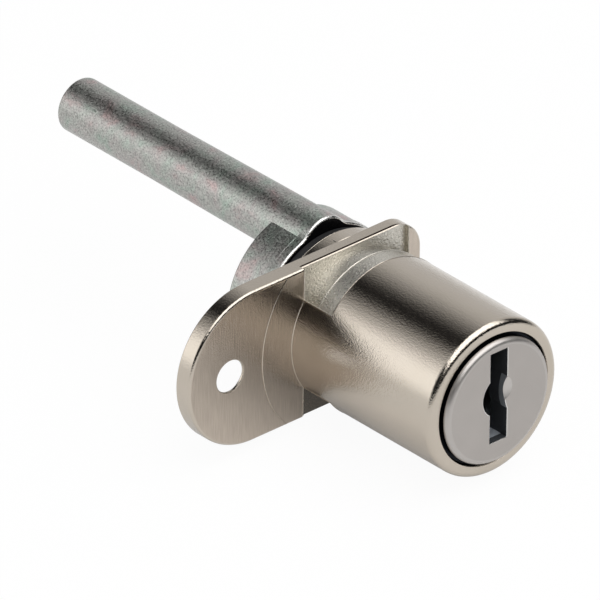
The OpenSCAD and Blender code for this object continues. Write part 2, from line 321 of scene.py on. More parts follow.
def brightNickel(look):
    # nickel plate over a zinc die casting: a warm mirror, blurred by the casting's fine skin. The polishing
    # belt leaves upright streaks on the flange, and its reliefs keep the rough skin of the mould, painted paler as a
    # sheen. Shade is painted dark in the bore and the parting groove, and lighter in the lower relief.
    material, tree, output = newMaterial("nickelPlatedZinc")
    place = addNode(tree, "ShaderNodeTexCoord").outputs["Object"]
    rough, paintedShade, brushed = [faceMark(tree, name) for name in ("castSkinAndSheen", "paintedShade", "brushed")]
    swell = noise(tree, place, look["swellSize"], 2.0)
    grain = noise(tree, place, look["grainSize"], 3.0, 0.6)
    skin = noise(tree, place, look["skinSize"], 2.0, 0.6)
    upright = stretch(tree, place, (1, 1, look["streakLength"] / look["streakWidth"]))
    streak = noise(tree, upright, look["streakWidth"], 3.0)
    streakBump = bump(tree, streak, look["streakDepth"], brushed)
    grainy = remap(tree, brushed, 1.0, look["faceGrain"])
    grainBump = bump(tree, grain, look["grainDepth"], grainy, streakBump)
    skinBump = bump(tree, skin, look["skinDepth"], rough, grainBump)
    swellBump = bump(tree, swell, look["swellDepth"], 1.0, skinBump)
    haze = remap(tree, grain, *look["roughness"], 0.3, 0.7)
    satin = maths(tree, "MULTIPLY_ADD", brushed, look["faceExtra"], haze)
    cast = maths(tree, "MULTIPLY_ADD", rough, look["skinExtra"], satin)
    blurred = maths(tree, "MULTIPLY_ADD", paintedShade, look["skinExtra"], cast)
    tint = blend(tree, swell, *look["colours"])
    lined = remap(tree, streak, *look["streakTone"], 0.35, 0.65)
    worn = scaled(tree, toLinear(look["faceColour"])[:3], lined)
    face = blend(tree, brushed, tint, worn)
    # painted sheen: the mould's skin is painted paler
    skinSheened = blend(tree, rough, face, look["skinSheenColour"])
    # painted shade over the bore, the parting groove and the lower relief
    inner = blend(tree, paintedShade, skinSheened, look["shadeColour"])
    surface(tree, output, inner, blurred, swellBump)
    return material


def satinNickel(look):
    # nickel over a blasted face: an even grey with hardly any reflection, painted dark as shade and bright as edge
    # highlights
    material, tree, output = newMaterial("satinNickel")
    place = addNode(tree, "ShaderNodeTexCoord").outputs["Object"]
    paintedShade, wearAndHighlight, milled = [faceMark(tree, name) for name in ("paintedShade", "wearAndHighlight", "milled")]
    grit = noise(tree, place, look["gritSize"], 2.0)
    cloud = noise(tree, place, look["cloudSize"], 1.0)
    tint = blend(tree, cloud, *look["colours"])
    # painted highlight along the worn edges
    edgeSheen = blend(tree, wearAndHighlight, tint, look["edgeSheenColour"])
    milledAndLit = blend(tree, milled, edgeSheen, look["milledLitColour"])
    # painted light: the milled keyway is painted pale, showing where light falls on its deep floor
    inner = blend(tree, paintedShade, milledAndLit, look["shadeColour"])
    smooth = remap(tree, wearAndHighlight, look["roughness"], look["edgeRoughness"])
    haze = maths(tree, "MULTIPLY_ADD", milled, look["milledExtra"], smooth)
    surface(tree, output, inner, haze, bump(tree, grit, look["gritDepth"]))
    return material


def passivatedZinc(look):
    # zinc plate with a thin chromate film: grey metal with faint pink and green clouds and a coarse sparkle,
    # worn smoother along its sharp edges and painted bright there as a highlight, and painted dark as shade where
    # marked
    material, tree, output = newMaterial("passivatedZincPlate")
    place = addNode(tree, "ShaderNodeTexCoord").outputs["Object"]
    wearAndHighlight, paintedShade = [faceMark(tree, name) for name in ("wearAndHighlight", "paintedShade")]
    film = noise(tree, place, look["cloudSize"], 3.0, distortion=0.6)
    ramp = addNode(tree, "ShaderNodeValToRGB", inputs={"Fac": film})
    stops = ramp.color_ramp.elements
    while len(stops) < len(look["film"]):
        stops.new(0.5)
    for stop, (share, colour) in zip(stops, look["film"]):
        stop.position = share
        stop.color = toLinear(colour)
    grain = noise(tree, place, look["grainSize"], 2.0, 0.7)
    speck = remap(tree, grain, *look["speck"], 0.34, 0.66)
    speckled = scaled(tree, ramp.outputs[0], speck)
    # painted highlight along the worn edges, and painted shade on the front face
    edgeSheen = blend(tree, wearAndHighlight, speckled, look["edgeSheenColour"])
    tint = blend(tree, paintedShade, edgeSheen, look["shadeColour"])
    haze = remap(tree, grain, *look["roughness"], 0.3, 0.7)
    smoother = maths(tree, "MULTIPLY_ADD", wearAndHighlight, -look["edgeSmoother"], haze)
    surface(tree, output, tint, smoother, bump(tree, grain, look["grainDepth"]))
    return material


def plainMetal(name, look):
    # bare metal with the fine lines of turning, stamping or wire drawing
    material, tree, output = newMaterial(name)
    place = addNode(tree, "ShaderNodeTexCoord").outputs["Object"]
    lines = noise(tree, stretch(tree, place, look["grainShape"]), look["lineWidth"], 3.0)
    tint = blend(tree, lines, *look["colours"])
    surface(tree, output, tint, look["roughness"], bump(tree, lines, look["lineDepth"]))
    return material


def blackNylon(look):
    # moulded nylon: near black with a soft, slightly mottled sheen
    material, tree, output = newMaterial("blackNylon")
    place = addNode(tree, "ShaderNodeTexCoord").outputs["Object"]
    mottle = noise(tree, place, look["mottleSize"], 3.0)
    tint = blend(tree, mottle, *look["colours"])
    surface(tree, output, tint, look["roughness"], bump(tree, mottle, look["mottleDepth"]), metallic=0.0, ior=1.53)
    return material


nickelLook = {
    "colours": ("#c2b9ae", "#bdb4a7"),   # nickel's warm grey
    "faceColour": "#bfb4a8", "streakTone": (0.92, 1.06),   # the flange, lined where the belt has been
    "roughness": (0.10, 0.19), "faceExtra": 0.08, "skinExtra": 0.15, "faceGrain": 0.7,
    "swellSize": 4.0, "swellDepth": 0.012,     # mm, slow waves left by casting and polishing
    "grainSize": 0.2, "grainDepth": 0.026,     # mm, the fine skin under the plate
    "skinSize": 0.24, "skinDepth": 0.09,       # mm, the mould's rough skin in the reliefs
    "skinSheenColour": "#cfcbc2",                   # painted sheen: the skin is painted paler than the polished plate, for the light it scatters
    "streakWidth": 0.15, "streakLength": 2.6, "streakDepth": 0.016,   # mm, belt marks on the flange
    "shadeColour": "#211c18",                 # painted shade in the bore and the parting groove, and lighter in the lower relief
}
satinLook = {
    "colours": ("#b3aeaa", "#ada8a4"), "roughness": 0.42,
    "gritSize": 0.12, "gritDepth": 0.006,      # mm, marks of the blasting beads
    "cloudSize": 3.0,                          # mm, faint clouds in the plate
    "shadeColour": "#191b20",                 # painted shade on everything behind the face, and in the keyway
    # edges painted bright as highlights on the worn metal
    "edgeSheenColour": "#e2e1de", "edgeRoughness": 0.26, "milledLitColour": "#d4dae0", "milledExtra": 0.33,
}
zincLook = {
    "film": ((0.30, "#9ca79e"), (0.44, "#a3a5a0"), (0.58, "#a4a19e"),
             (0.72, "#ac9a98")),   # green, grey, warm grey, pink
    "roughness": (0.24, 0.44), "speck": (0.64, 1.50),
    "cloudSize": 2.6,                          # mm, clouds of the chromate film
    "grainSize": 0.2, "grainDepth": 0.045,     # mm, zinc crystals
    # the sharp edges painted bright as highlights over worn zinc; the front face painted dark as shade
    "edgeSheenColour": "#dcdbd8", "edgeSmoother": 0.2, "shadeColour": "#222326",
}
turnedSteelLook = {"colours": ("#b9babc", "#a9aaad"), "roughness": 0.28, "grainShape": (1, 1, 1), "lineWidth": 0.2,
                   "lineDepth": 0.003}
springSteelLook = {"colours": ("#c4c4c6", "#b6b6b9"), "roughness": 0.22, "grainShape": (1, 1, 1), "lineWidth": 0.1,
                   "lineDepth": 0.001}
waferLook = {"colours": ("#c2c3c4", "#a9abae"), "roughness": 0.3, "grainShape": (1, 1, 8), "lineWidth": 0.08,
             "lineDepth": 0.003}
# near black, so that the washer also stands in for the shade in the gap behind the crank
nylonLook = {"colours": ("#0b0b0c", "#121214"), "roughness": 0.6, "mottleSize": 0.4, "mottleDepth": 0.004}

nickel = brightNickel(nickelLook)
satin = satinNickel(satinLook)
zinc = passivatedZinc(zincLook)
turnedSteel = plainMetal("turnedSteel", turnedSteelLook)
springSteel = plainMetal("drawnSpringSteel", springSteelLook)
stampedStrip = plainMetal("stampedNickelSilver", waferLook)
nylon = blackNylon(nylonLook)
print("stage: materials made")

# housing: barrel, flange and boss in one casting
housing = {
    "barrelRadius": 8.95, "frontY": -21.2, "rimRound": 0.8,
    "boreRadius": 7.5, "boreFloor": 0.5, "boreEdge": 0.1,
    "flangeBack": 2.1, "halfHeight": 8.95, "earReach": 23.14, "shortReach": 9.05, "shortCorner": 3.4,
    "frontEdge": 0.35, "backEdge": 0.2,
    "screwX": -17.45, "screwRadius": 1.85, "screwEdge": 0.1, "screwLand": 0.3, "sunkRadius": 3.95,
    "bossRadius": 9.0, "bossBack": 3.5, "bossEdge": 0.14, "bearingRadius": 4.0,
    "reliefHalf": 7.275, "reliefFront": -4.25, "reliefRadius": 8.7, "reliefRound": 0.16,
    "grooveFront": -2.0, "grooveRadius": 8.2, "faceRelief": 0.4,
    "rootFillet": 0.08, "earSteps": 160, "shortSteps": 40,
    "ringRadius": 8.05, "ringFront": -5.3, "ringBack": -3.5,                      # groove of the retaining wafer
    "slotHalf": 3.3, "slotFront": -19.7, "slotBack": -6.2, "slotRadius": 8.25,    # grooves that the wafers enter
    "pinX": 6.4, "pinRadius": 0.7, "pinEnd": 2.3, "pinSteps": 48,                 # hole of the stop pin
    "mouldLineRadius": 13.0, "mouldLine": 0.08, "rootLine": 0.085, "stepLine": 0.09, "reliefLine": 0.075,
    "reliefProud": 0.045, "bossLine": 0.06, "bossLineEnd": 150, "lineMargin": 0.25,
    "partGroove": 0.12, "partWidth": 0.26, "partBevel": 0.07, "bevelRun": 1.7, "partShort": 0.6,
    "lowerSkin": 0.2, "lowerShade": 0.6,     # how much of the rough skin with its painted sheen, and of the painted shade, the lower relief shows
}


def makeHousing(h):
    inside, rootEnd, bossStart = 2, 1.2, 1.3    # the bore clears the inside, and the ends overlap within the flange
    barrel = turned("barrel", [(inside, h["frontY"]), (h["barrelRadius"], h["frontY"], h["rimRound"]),
                               (h["barrelRadius"], 0, h["rootFillet"]),
                               (h["barrelRadius"] + h["rootFillet"] * 1.25, 0.002),
                               (h["barrelRadius"] - 0.5, rootEnd), (inside, rootEnd)])
    earX = h["halfHeight"] - h["earReach"]
    cornerX, cornerZ = h["shortReach"] - h["shortCorner"], h["halfHeight"] - h["shortCorner"]
    outline = arc((earX, 0), h["halfHeight"], 90, 270, h["earSteps"])
    outline += arc((cornerX, -cornerZ), h["shortCorner"], -90, 0, h["shortSteps"])
    outline += arc((cornerX, cornerZ), h["shortCorner"], 0, 90, h["shortSteps"])
    front, back = h["frontEdge"], h["backEdge"]
    levels = [(front * (1 - math.sin(a)), front * (1 - math.cos(a)))
              for a in (math.radians(90 * (1 - k / cornerSteps)) for k in range(cornerSteps + 1))]
    levels += [(h["flangeBack"] - back * (1 - math.sin(a)), back * (1 - math.cos(a)))
               for a in (math.radians(90 * k / cornerSteps) for k in range(cornerSteps + 1))]
    flange = lofted("flange", outline, levels)
    boss = turned("boss", [(inside, bossStart), (h["bossRadius"] - 0.6, bossStart), (h["bossRadius"], 1.9),
                           (h["bossRadius"], h["bossBack"], h["bossEdge"]), (inside, h["bossBack"])])
    casting = combine(barrel, [flange, boss], "UNION")
    casting.name = "housingCasting"
    # relief above and below the barrel's root, stepped deeper beside the flange
    for side in (1, -1):
        beyond = 12 * side      # past the flange's edge
        cutter = block("relief", (-h["reliefHalf"], h["reliefFront"], min(0, beyond)),
                       (h["reliefHalf"], h["faceRelief"], max(0, beyond)))
        keep = turned("reliefFloor", [(1, h["reliefFront"] - 1), (h["reliefRadius"], h["reliefFront"] - 1),
                                      (h["reliefRadius"], h["grooveFront"], h["reliefRound"]),
                                      (h["grooveRadius"], h["grooveFront"]),
                                      (h["grooveRadius"], h["faceRelief"] + 1), (1, h["faceRelief"] + 1)])
        combine(cutter, [keep])
        combine(casting, [cutter])
        # the reliefs' upper edge on the flange: a small bevel, and a fine parting groove behind it
        top, face, groove, bevel = h["halfHeight"] * side, h["faceRelief"], h["partGroove"], h["partBevel"]
        outside = 0.3 * side
        lip = face + bevel * h["bevelRun"]
        section = [(face - 0.2, top - bevel * side), (face, top - bevel * side), (lip, top - 0.01 * side),
                   (lip + 0.04, top - groove * side), (lip + h["partWidth"], top),
                   (lip + h["partWidth"], top + outside), (face - 0.2, top + outside)]
        bm = bmesh.new()
        ends = [[bm.verts.new((x * mm, y * mm, z * mm)) for y, z in section]
                for x in (-h["reliefHalf"], h["reliefHalf"] - h["partShort"])]
        for k in range(len(section)):
            bm.faces.new((ends[0][k], ends[0][(k + 1) % len(section)], ends[1][(k + 1) % len(section)], ends[1][k]))
        for end in ends:
            bm.faces.new(end)
        combine(casting, [meshObject("partingGroove", bm)])
    # bore with the retaining groove, and the bearing behind it
    bore = turned("bore", [(1, h["frontY"] - 1), (h["boreRadius"] + 0.6, h["frontY"] - 1),
                           (h["boreRadius"] + h["boreEdge"], h["frontY"]),
                           (h["boreRadius"], h["frontY"] + h["boreEdge"]),
                           (h["boreRadius"], h["ringFront"]), (h["ringRadius"], h["ringFront"]),
                           (h["ringRadius"], h["ringBack"]), (h["boreRadius"], h["ringBack"]),
                           (h["boreRadius"], h["boreFloor"]), (h["bearingRadius"], h["boreFloor"]),
                           (h["bearingRadius"], h["bossBack"] + 1), (1, h["bossBack"] + 1)])
    grooves = block("grooves", (-h["slotHalf"], h["slotFront"], -9), (h["slotHalf"], h["slotBack"], 9))
    before, after = h["slotFront"] - 0.3, h["slotBack"] + 0.2
    combine(grooves, [turned("grooveFloor", [(1, before), (h["slotRadius"], before),
                                             (h["slotRadius"], after), (1, after)])], "INTERSECT")
    edge, radius, sunk = h["screwEdge"], h["screwRadius"], h["sunkRadius"]
    screwHole = turned("screwHole", [(0.2, -1), (radius + edge + 0.3, -1), (radius + edge, 0),
                                     (radius + edge * 0.3, edge * 0.3), (radius, edge),
                                     (radius, h["screwLand"], edge), (sunk, h["flangeBack"], edge),
                                     (sunk + 0.06, h["flangeBack"] + 0.5),
                                     (0.2, h["flangeBack"] + 0.5)], holeSteps, (h["screwX"], 0))
    pinHole = turned("pinHole", [(0.1, 0), (h["pinRadius"], 0), (h["pinRadius"], h["pinEnd"]), (0.1, h["pinEnd"])],
                     h["pinSteps"], (h["pinX"], 0))
    combine(casting, [bore, grooves, screwHole, pinHole])
    # fine raised lines that the mould leaves: on the flange round the barrel, at the barrel's root,
    # round the boss and along the reliefs
    reach = math.degrees(math.acos((h["halfHeight"] - h["lineMargin"]) / h["mouldLineRadius"]))
    corner = math.degrees(math.asin(h["reliefHalf"] / h["barrelRadius"]))
    lineRadius = h["barrelRadius"] - h["reliefLine"] + h["reliefProud"]
    cornerZ = lineRadius * math.cos(math.radians(corner))
    rootRadius = h["barrelRadius"] + 0.01
    lines = [ridge("mouldLine", roundAxis(h["mouldLineRadius"], 0, reach, 180 - reach, 120), h["mouldLine"]),
             ridge("rootLine", roundAxis(rootRadius, 0, corner + 1, 179 - corner, 90), h["rootLine"]),
             ridge("rootLine", roundAxis(rootRadius, 0, 181 + corner, 359 - corner, 90), h["rootLine"]),
             ridge("bossLine", roundAxis(h["bossRadius"] - h["bossLine"], h["bossBack"] - h["bossLine"],
                                         -h["bossLineEnd"], h["bossLineEnd"], 220), h["bossLine"])]
    for way in (0, 180):
        up = 1 if way == 0 else -1
        lines.append(ridge("stepLine", roundAxis(h["reliefRadius"] - 0.02, h["grooveFront"] - 0.02,
                                                 way - corner - 1, way + corner + 1, 90), h["stepLine"]))
        # one line up the flange's face, along the barrel, round it, back and up the face again
        x, near = lineRadius * math.sin(math.radians(corner)), 0.12
        leg = [(0, h["halfHeight"] - h["frontEdge"]), (0, cornerZ + near), (0, cornerZ), (-near, cornerZ),
               (h["reliefFront"] + near, cornerZ)]
        start, end = (way - corner, way + corner) if way == 0 else (way + corner, way - corner)
        path = [(x, y, up * z) for y, z in leg]
        path += roundAxis(lineRadius, h["reliefFront"], start, end, 90)
        path += [(-x, y, up * z) for y, z in leg[::-1]]
        lines.append(ridge("reliefLine", path, h["reliefLine"]))
    bm = bmesh.new()
    for line in lines:
        bm.from_mesh(line.data)
        bpy.data.objects.remove(line)
    combine(casting, [meshObject("allLines", bm)], "UNION")
    polish(casting)
    # mark the faces in the reliefs, which keep the mould's skin with its painted sheen, the bore, parting groove
    # and lower relief, where shade is painted, and the brushed flange
    touch = 0.01      # mm, how near a face lies to count as on a surface
    castSkinAndSheen = casting.data.attributes.new("castSkinAndSheen", "FLOAT", "FACE")
    paintedShade = casting.data.attributes.new("paintedShade", "FLOAT", "FACE")
    brushed = casting.data.attributes.new("brushed", "FLOAT", "FACE")
    for face in casting.data.polygons:
        x, y, z = face.center / mm
        onStep = abs(y - h["faceRelief"]) < touch or math.hypot(x, z) > h["grooveRadius"] - 0.1
        alongBarrel = h["reliefFront"] - touch < y < h["faceRelief"] + touch
        inRelief = abs(x) < h["reliefHalf"] + touch and alongBarrel and onStep
        # the lower relief gets less of the skin and its painted sheen, so it is painted darker as shade
        castSkinAndSheen.data[face.index].value = (1.0 if z > 0 else h["lowerSkin"]) if inRelief else 0.0
        inBore = math.hypot(x, z) < h["boreRadius"] + 0.8 and h["frontY"] + 0.15 < y < h["bossBack"] - touch
        back = y - h["faceRelief"] - h["partBevel"] * h["bevelRun"]
        deep = h["halfHeight"] - h["partGroove"] - touch < abs(z) < h["halfHeight"] - 0.02
        inGroove = 0.0 < back < h["partWidth"] and deep
        # painted shade: dark in the parting groove and the bore, lighter in the lower relief
        dark = inGroove or (inBore and not inRelief)
        paintedShade.data[face.index].value = 1.0 if dark else h["lowerShade"] if inRelief and z < 0 else 0.0
        brushed.data[face.index].value = 1.0 if abs(face.normal.y) > 0.95 and y > -0.1 and not inRelief else 0.0
    return casting


housingCasting = makeHousing(housing)
finishPiece(housingCasting, "lock_body", nickel, "housing")
print("stage: housing made,", len(housingCasting.data.polygons), "faces")

# core: the turning plug with its keyway
core = {
    "faceY": -22.0, "headRadius": 7.15, "headRound": 0.6, "headBack": -20.8, "bodyRadius": 7.45, "backY": -1.2,
    "keywayHalf": 1.175, "keywayHeight": 10.65, "keywayRise": 0.75,
    "bulgeX": 0.255, "bulgeRadius": 2.4, "wardX": 5.9, "wardRadius": 5.1,
    "keywayBack": -3.3, "keywayEdge": 0.09, "plateDepth": 0.9,
    "dimpleRadius": 1.45, "dimpleDepth": 0.29, "dimpleX": 0.4, "dimpleZ": 1.4,
    "plateStep": 0.07, "plateRamp": 0.04, "bulgeSteps": 32, "wardSteps": 28, "dimpleSteps": 12,
    "waferCount": 6, "waferTravel": 0.7, "retainerTravel": 0.5,
    "slotHalf": 0.75, "slotWidth": 6.2, "slotReach": 7.5, "firstWaferY": -18.7, "pitch": 2.3, "retainerY": -4.4,
    "pocketX": 4.9, "pocketEnd": 4.3, "lugLow": 0.3, "lugHeight": 1.2, "lugPlay": 0.05,
    "tongueHalf": 1.6, "tongueDepth": 1.6, "tongueReach": 4.6,    # rear slot for the driver's tongue
    "wallShade": 0.9, "wardShade": 0.55, "floorShade": 0.86,   # how much shade is painted on the keyway's sides; the ward gets less, as if lit
    "roundSheen": 0.12, "dimpleSheen": 0.22,                          # how much painted highlight, over worn metal, the rounded edge and the dimple get
}


def keywayOutline(c):
    # slot with a round bulge on the left and a round ward on the right, counted one way round
    low, high = c["keywayRise"] - c["keywayHeight"] / 2, c["keywayRise"] + c["keywayHeight"] / 2
    half, rise = c["keywayHalf"], c["keywayRise"]
    wardZ = math.sqrt(c["wardRadius"] ** 2 - (c["wardX"] - half) ** 2)
    wardAngle = math.degrees(math.atan2(wardZ, half - c["wardX"]))
    bulgeZ = math.sqrt(c["bulgeRadius"] ** 2 - (half + c["bulgeX"]) ** 2)
    bulgeAngle = math.degrees(math.atan2(bulgeZ, -half - c["bulgeX"]))
    points = [(half, high), (-half, high)]
    points += arc((c["bulgeX"], rise), c["bulgeRadius"], bulgeAngle, 360 - bulgeAngle, c["bulgeSteps"])
    points += [(-half, low), (half, low)]
    points += arc((c["wardX"], rise), c["wardRadius"], 360 - wardAngle, wardAngle, c["wardSteps"])
    return points


def makeCore(c):
    plug = turned("corePlug", [(1, c["faceY"]), (c["headRadius"], c["faceY"], c["headRound"]),
                               (c["headRadius"], c["headBack"]), (c["bodyRadius"], c["headBack"], 0.05),
                               (c["bodyRadius"], c["backY"]), (1, c["backY"])])
    edge = c["keywayEdge"]
    keyway = lofted("keyway", keywayOutline(c), [(c["faceY"] - 1, -edge - 0.5), (c["faceY"], -edge),
                                                (c["faceY"] + edge * 0.3, -edge * 0.3), (c["faceY"] + edge, 0),
                                                (c["faceY"] + c["plateDepth"], 0),
                                                (c["faceY"] + c["plateDepth"] + c["plateRamp"], -c["plateStep"]),
                                                (c["keywayBack"], -c["plateStep"])])
    bowl, depth = c["dimpleRadius"], c["dimpleDepth"]
    curve = (bowl ** 2 + depth ** 2) / (2 * depth)
    swing = math.asin(bowl / curve)
    steps = c["dimpleSteps"]
    floor = [(curve * math.sin(swing * k / steps), c["faceY"] + depth - curve * (1 - math.cos(swing * k / steps)))
             for k in range(steps, 0, -1)]
    mouth = [(0.01, c["faceY"] - 1), (bowl + 0.03, c["faceY"] - 1), (bowl + 0.03, c["faceY"]),
             (bowl + 0.01, c["faceY"] + 0.01)]
    dimple = turned("dimple", mouth + floor + [(0.01, c["faceY"] + depth)], holeSteps, (c["dimpleX"], c["dimpleZ"]))
    cutters = [keyway, dimple]
    # a slot for each wafer and its spring, turned over at every second one, and one for the retaining wafer
    for i in range(c["waferCount"] + 1):
        last = i == c["waferCount"]
        y = c["retainerY"] if last else c["firstWaferY"] + i * c["pitch"]
        up = not last and i % 2 == 0
        travel = c["retainerTravel"] if last else c["waferTravel"]
        cutters.append(block("slot", (-c["slotWidth"] / 2, y - c["slotHalf"], -c["slotReach"]),
                             (c["slotWidth"] / 2, y + c["slotHalf"], c["slotReach"])))
        low, high = -c["pocketEnd"], c["lugLow"] + c["lugHeight"] + travel + c["lugPlay"]
        if not up:
            low, high = -high, -low
        cutters.append(block("pocket", (0, y - c["slotHalf"], low), (c["pocketX"], y + c["slotHalf"], high)))
    cutters.append(block("tongueSlot", (-c["tongueHalf"], c["backY"] - c["tongueDepth"], -c["tongueReach"]),
                         (c["tongueHalf"], c["backY"] + 1, c["tongueReach"])))
    combine(plug, cutters)
    polish(plug)
    # everything behind the face's edges is painted dark as shade, and the keyway's sides are milled
    paintedShade = plug.data.attributes.new("paintedShade", "FLOAT", "FACE")
    wearAndHighlight = plug.data.attributes.new("wearAndHighlight", "FLOAT", "FACE")
    milled = plug.data.attributes.new("milled", "FLOAT", "FACE")
    for face in plug.data.polygons:
        x, y, z = face.center / mm
        depth = y - c["faceY"]
        inKeyway = abs(x) < 2.35 and math.hypot(x, z) < c["headRadius"] - 1 and abs(face.normal.y) < 0.5
        value = 1.0 if y > c["headBack"] - 0.3 else 0.0
        if inKeyway and depth > edge * 0.9:
            onWard = depth < c["plateDepth"] + 0.05 and face.normal.x < 0 and abs(z - c["keywayRise"]) < 2.2
            onFloor = face.normal.z > 0.5 and z < -3
            # painted light: the deep floor gets no painted shade, so it shows the pale milled colour where light falls,
            # and the ward gets less, as if lit
            if onFloor:
                value = 0.0 if depth > c["plateDepth"] else c["floorShade"]
            else:
                value = c["wardShade"] if onWard else c["wallShade"]
        milled.data[face.index].value = 1.0 if inKeyway and depth > edge * 0.9 else 0.0
        paintedShade.data[face.index].value = value
        nearDimple = math.hypot(x - c["dimpleX"], z - c["dimpleZ"]) < c["dimpleRadius"] + 0.1
        inDimple = nearDimple and 0.001 < depth <= c["dimpleDepth"] + 0.01
        onEdge = 0.001 < depth < edge and math.hypot(x, z) < c["headRadius"] - 1 and not inDimple
        onRound = 0.001 < depth < c["headRound"] and math.hypot(x, z) > c["headRadius"] - c["headRound"]
        bright = c["dimpleSheen"] if inDimple and not inKeyway else 0.0
        wearAndHighlight.data[face.index].value = 1.0 if onEdge else c["roundSheen"] if onRound else bright
    return plug


corePlug = makeCore(core)
finishPiece(corePlug, "rotor", satin, "core")
print("stage: core made,", len(corePlug.data.polygons), "faces")

# crank: disc and long rod in one casting
crank = {
    "frontY": 4.8, "bandY": 6.0, "backY": 10.2, "discRadius": 9.0,
    "bandStep": 0.07, "frontRound": 0.3, "backRound": 0.3,
    "rodZ": 6.95, "rodRootRadius": 3.2, "rodEndRadius": 3.05, "rodLandY": 29.4, "rodEndY": 43.4, "rodEndRound": 0.3,
    "webFillet": 2.5, "squareHalf": 2.725, "rivetDepth": 1.2, "rivetRadius": 3.225,
    "bandBevel": 0.05, "bandLine": 0.055, "bandLineStart": 20,
    "discSteps": 260, "rodSteps": 200, "rodArcSteps": 90, "filletSteps": 24,
}


def bandOutline(c):
    # the disc runs into the rod through a round fillet on each side
    near, far, up = c["discRadius"] + c["webFillet"], c["rodRootRadius"] + c["webFillet"], c["rodZ"]
    filletZ = (near ** 2 - far ** 2 + up ** 2) / (2 * up)
    filletX = math.sqrt(near ** 2 - filletZ ** 2)
    discAngle = math.degrees(math.atan2(filletZ, filletX))
    rodAngle = math.degrees(math.atan2(filletZ - up, filletX))
    points = arc((0, up), c["rodRootRadius"], rodAngle, 180 - rodAngle, c["rodArcSteps"])
    points += arc((-filletX, filletZ), c["webFillet"], -rodAngle, -discAngle, c["filletSteps"])[1:]
    points += arc((0, 0), c["discRadius"], 180 - discAngle, 360 + discAngle, c["discSteps"])[1:]
    points += arc((filletX, filletZ), c["webFillet"], 180 + discAngle, 180 + rodAngle, c["filletSteps"])[1:-1]
    return points


def makeCrank(c):
    r = c["frontRound"]
    levels = [(c["frontY"] + r * (1 - math.sin(a)), r * (1 - math.cos(a)))
              for a in (math.radians(90 * (1 - k / cornerSteps)) for k in range(cornerSteps + 1))]
    levels += [(c["bandY"] - c["bandBevel"], 0), (c["bandY"], c["bandBevel"])]
    band = lofted("crankBand", bandOutline(c), levels)
    inner = c["discRadius"] - c["bandStep"]
    discStart, rodStart = c["frontY"] + 0.4, c["frontY"] + 0.3    # inside the band, so that the three forms overlap
    disc = turned("crankDisc", [(1, discStart), (inner, discStart), (inner, c["backY"], c["backRound"]),
                                (1, c["backY"])])
    root = c["rodRootRadius"] - 0.004      # just inside the band's outline, so that no two surfaces coincide
    rod = turned("driveRod", [(0.5, rodStart), (root, rodStart), (root, c["backY"]),
                              (c["rodEndRadius"], c["rodLandY"]),
                              (c["rodEndRadius"], c["rodEndY"], c["rodEndRound"]), (0.5, c["rodEndY"])],
                 c["rodSteps"], (0, c["rodZ"]))
    casting = combine(band, [disc, rod], "UNION")
    # thin raised line at the band's rear edge
    line = roundAxis(c["discRadius"] - 0.06, c["bandY"], c["bandLineStart"], 360 - c["bandLineStart"], c["discSteps"])
    combine(casting, [ridge("bandLine", line, c["bandLine"])], "UNION")
    half = c["squareHalf"]
    square = block("square", (-half, c["frontY"] - 1, -half), (half, c["backY"] - c["rivetDepth"] + 0.01, half))
    seatY = c["backY"] - c["rivetDepth"]
    rivet = turned("rivetSeat", [(0.5, seatY), (half, seatY), (c["rivetRadius"], c["backY"]),
                                 (c["rivetRadius"], c["backY"] + 1), (0.5, c["backY"] + 1)], holeSteps)
    combine(casting, [square, rivet])
    casting.name = "crankCasting"
    polish(casting)
    # mark the rounded front edge, worn smoother and painted bright as a highlight, and the front face, painted dark as
    # shade
    wearAndHighlight = casting.data.attributes.new("wearAndHighlight", "FLOAT", "FACE")
    paintedShade = casting.data.attributes.new("paintedShade", "FLOAT", "FACE")
    for face in casting.data.polygons:
        y = face.center.y / mm
        wearAndHighlight.data[face.index].value = 1.0 if c["frontY"] < y < c["frontY"] + r and abs(face.normal.y) < 0.98 else 0.0
        paintedShade.data[face.index].value = 1.0 if face.normal.y < -0.98 and y < c["frontY"] + 0.01 else 0.0
    return casting


crankCasting = makeCrank(crank)
finishPiece(crankCasting, "rotor", zinc, "crank")
print("stage: crank made,", len(crankCasting.data.polygons), "faces")

# retaining spring: a coil, built at one length; in the lock it shortens when its wafer is pressed in
retainingSpring = {"wire": 0.1, "turns": 5, "stepsPerTurn": 24, "seatZ": 4.3, "travel": 0.5}


def makeRetainingSpring(c):
    low, high = (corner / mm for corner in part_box("retaining_spring"))
    middle, reach = (low + high) / 2, (high.x - low.x) / 2 - c["wire"]
    count = c["turns"] * c["stepsPerTurn"]
    start, rise = low.z + c["wire"], high.z - low.z - 2 * c["wire"]
    path = [(middle.x + reach * math.cos(a), middle.y + reach * math.sin(a),
             start + rise * a / (2 * math.pi * c["turns"]))
            for a in (2 * math.pi * c["turns"] * k / count for k in range(count + 1))]
    coil = ridge("retainingCoil", path, c["wire"])
    polish(coil, 60)
    finishPiece(coil, "rotor", springSteel, "retaining_spring")
    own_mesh(coil)
    return coil


retainingCoil = makeRetainingSpring(retainingSpring)
print("stage: retaining spring made,", len(retainingCoil.data.polygons), "faces")

# the pieces whose CAD shape stays
kept = {"driver": turnedSteel, "stop_pin": turnedSteel, "spring_washer": springSteel, "thrust_washer": nylon,
        "retaining_wafer": stampedStrip}
for i in range(1, 7):
    kept[f"wafer_{i}"] = stampedStrip
    kept[f"wafer_spring_{i}"] = springSteel
for name, material in kept.items():
    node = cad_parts[name]
    for socket in node.material_slots:
        socket.material = material
print("stage: kept nodes finished,", len(kept))

